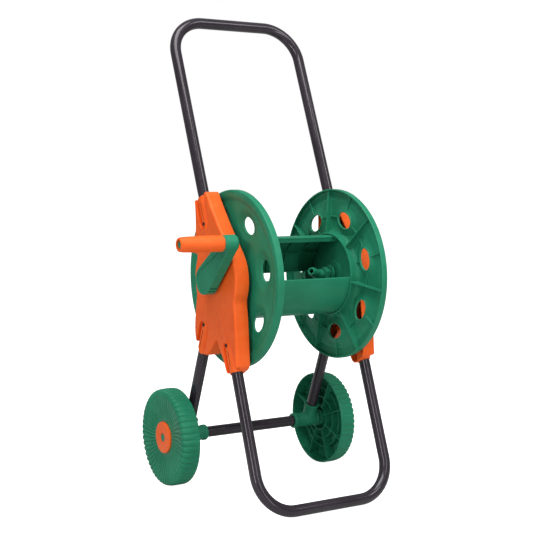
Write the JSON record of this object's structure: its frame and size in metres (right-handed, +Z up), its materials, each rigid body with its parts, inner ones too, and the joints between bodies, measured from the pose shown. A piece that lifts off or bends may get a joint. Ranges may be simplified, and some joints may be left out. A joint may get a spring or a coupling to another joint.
{
  "type": "garden hose reel cart",
  "caption": "Two-wheeled garden hose cart: a flanged reel with crank and water inlet between side plates on a bent tube frame.",
  "frame": {"origin": "middle of the footprint, on the ground", "axes": "+Z up, +X across from the crank side to the water inlet side, +Y from the foot bar to the wheels and handle"},
  "size_m": [0.4844, 0.4118, 0.9369],
  "materials": {
    "green_plastic": "satin moulded plastic, fine moulding marks",
    "orange_plastic": "satin moulded plastic",
    "painted_tube": "dark gloss stove enamel on steel tube",
    "screw_steel": "zinc plated",
    "rubber_seal": "matt"
  },
  "bodies": {
    "frame": {"handle_tube": "painted_tube", "foot_tube": "painted_tube", "axle_tube": "painted_tube", "left_side_plate": "orange_plastic", "left_rear_leg": "painted_tube", "left_axle_tee": "green_plastic", "left_hub_cap": "orange_plastic", "left_handle_screw": "screw_steel", "left_foot_screw": "screw_steel", "left_rear_leg_screw": "screw_steel", "left_tee_leg_screw": "screw_steel", "left_tee_axle_screw": "screw_steel", "right_side_plate": "orange_plastic", "right_rear_leg": "painted_tube", "right_axle_tee": "green_plastic", "right_hub_cap": "orange_plastic", "right_handle_screw": "screw_steel", "right_foot_screw": "screw_steel", "right_rear_leg_screw": "screw_steel", "right_tee_leg_screw": "screw_steel", "right_tee_axle_screw": "screw_steel", "inlet_retainer": "orange_plastic"},
    "reel": {"left_flange": "green_plastic", "right_flange": "green_plastic", "top_drum_shell": "green_plastic", "bottom_drum_shell": "green_plastic", "crank_arm": "green_plastic", "crank_pin": "green_plastic", "water_pipe": "green_plastic", "pipe_nut": "green_plastic", "hose_elbow": "green_plastic"},
    "crank_grip": {"crank_grip": "orange_plastic"},
    "left_wheel": {"left_wheel": "green_plastic"},
    "right_wheel": {"right_wheel": "green_plastic"},
    "inlet": {"inlet_elbow": "green_plastic", "inlet_seal": "rubber_seal", "inlet_hose_tail": "orange_plastic"}
  },
  "joints": [
    {"name": "reel_spin", "type": "hinge", "parent": "frame", "child": "reel", "pos_m": [0.03775, -0.02693, 0.4253], "axis": [1, 0, 0], "continuous": true},
    {"name": "grip_spin", "type": "hinge", "parent": "reel", "child": "crank_grip", "pos_m": [0.03775, -0.11293, 0.5018], "axis": [1, 0, 0], "continuous": true},
    {"name": "left_wheel_spin", "type": "hinge", "parent": "frame", "child": "left_wheel", "pos_m": [0.03775, 0.10107, 0.0967], "axis": [1, 0, 0], "continuous": true},
    {"name": "right_wheel_spin", "type": "hinge", "parent": "frame", "child": "right_wheel", "pos_m": [0.03775, 0.10107, 0.0967], "axis": [1, 0, 0], "continuous": true},
    {"name": "inlet_swivel", "type": "hinge", "parent": "frame", "child": "inlet", "pos_m": [0.03775, -0.02693, 0.4253], "axis": [1, 0, 0], "continuous": true}
  ]
}
